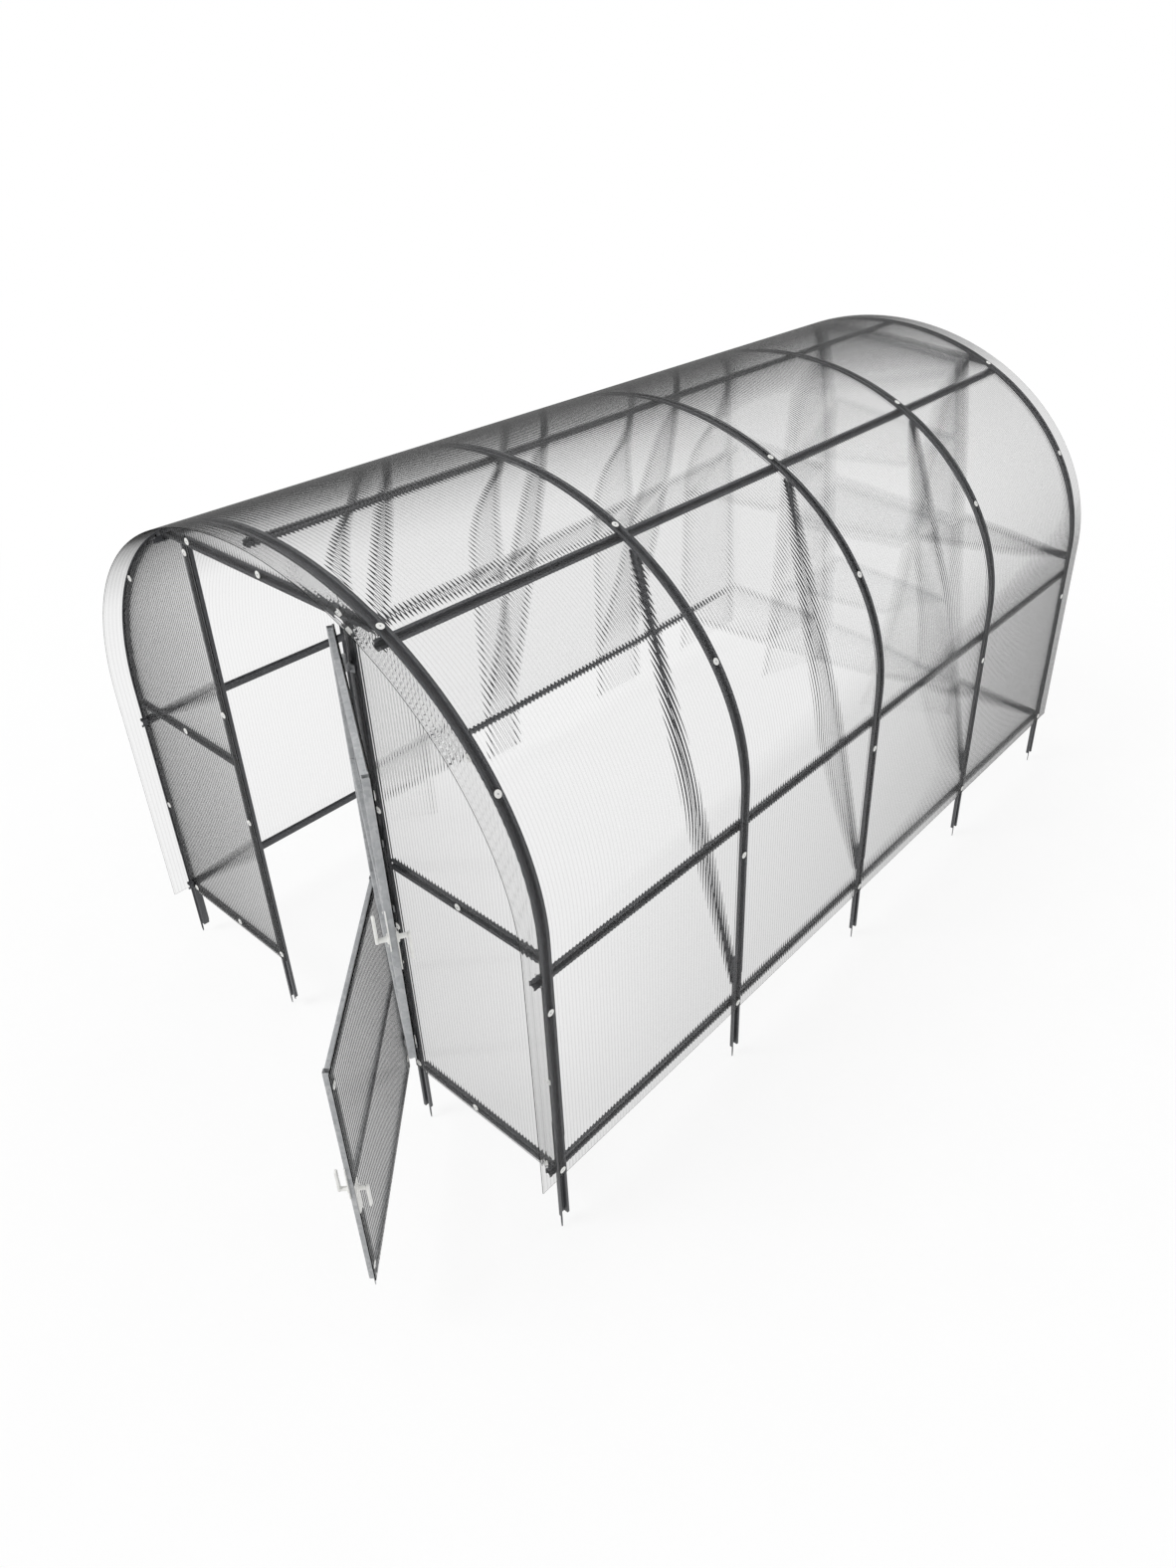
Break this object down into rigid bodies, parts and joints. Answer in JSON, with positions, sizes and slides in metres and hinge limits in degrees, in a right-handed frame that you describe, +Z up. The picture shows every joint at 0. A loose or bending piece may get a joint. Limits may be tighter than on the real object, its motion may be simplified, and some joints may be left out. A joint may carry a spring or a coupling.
{
  "type": "polycarbonate greenhouse",
  "caption": "Arched walk-in greenhouse: hat-section steel arches and purlins under twin-wall polycarbonate, with a two-leaf stable door at each end.",
  "frame": {"origin": "middle of the whole box on the floor, with the front door leaves standing open as at rest", "axes": "+X to the right seen from the front end, +Y along the house from the front end to the back end, +Z up"},
  "size_m": [2.484, 4.811, 2.409],
  "materials": {
    "anthracite_steel": "satin",
    "zinc_steel": "satin",
    "twinwall_sheet": "gloss",
    "white_plastic": "satin"
  },
  "bodies": {
    "house": {"arch_1": "anthracite_steel", "arch_2": "anthracite_steel", "arch_3": "anthracite_steel", "arch_4": "anthracite_steel", "arch_5": "anthracite_steel", "stakes_left": "anthracite_steel", "stakes_right": "anthracite_steel", "brace_pair_2": "anthracite_steel", "brace_pair_3": "anthracite_steel", "brace_pair_4": "anthracite_steel", "ridge_purlin": "anthracite_steel", "shoulder_purlin_left": "anthracite_steel", "shoulder_purlin_right": "anthracite_steel", "side_purlin_left": "anthracite_steel", "side_purlin_right": "anthracite_steel", "side_sill_left": "anthracite_steel", "side_sill_right": "anthracite_steel", "front_posts": "anthracite_steel", "front_head_rail": "anthracite_steel", "front_rails": "anthracite_steel", "back_posts": "anthracite_steel", "back_head_rail": "anthracite_steel", "back_rails": "anthracite_steel", "front_panel_left": "twinwall_sheet", "front_panel_right": "twinwall_sheet", "front_panel_top": "twinwall_sheet", "back_panel_left": "twinwall_sheet", "back_panel_right": "twinwall_sheet", "back_panel_top": "twinwall_sheet", "roof_sheet_front": "twinwall_sheet", "roof_sheet_back": "twinwall_sheet", "front_hinges": "zinc_steel", "back_hinges": "zinc_steel"},
    "front_upper_leaf": {"front_upper_frame": "zinc_steel", "front_upper_sheet": "twinwall_sheet", "front_upper_fittings": "white_plastic"},
    "front_lower_leaf": {"front_lower_frame": "zinc_steel", "front_lower_sheet": "twinwall_sheet", "front_lower_fittings": "white_plastic"},
    "back_upper_leaf": {"back_upper_frame": "zinc_steel", "back_upper_sheet": "twinwall_sheet", "back_upper_fittings": "white_plastic"},
    "back_lower_leaf": {"back_lower_frame": "zinc_steel", "back_lower_sheet": "twinwall_sheet", "back_lower_fittings": "white_plastic"}
  },
  "joints": [
    {"name": "front_upper_hinge", "type": "hinge", "parent": "house", "child": "front_upper_leaf", "pos_m": [0.445, -1.72455, 1.757], "axis": [0, 0, 1], "range_deg": [-150, 10]},
    {"name": "front_lower_hinge", "type": "hinge", "parent": "house", "child": "front_lower_leaf", "pos_m": [0.445, -1.72455, 0.767], "axis": [0, 0, 1], "range_deg": [-134, 26]},
    {"name": "back_upper_hinge", "type": "hinge", "parent": "house", "child": "back_upper_leaf", "pos_m": [0.445, 2.33545, 1.757], "axis": [0, 0, -1], "range_deg": [0, 160]},
    {"name": "back_lower_hinge", "type": "hinge", "parent": "house", "child": "back_lower_leaf", "pos_m": [0.445, 2.33545, 0.767], "axis": [0, 0, -1], "range_deg": [0, 160]}
  ]
}
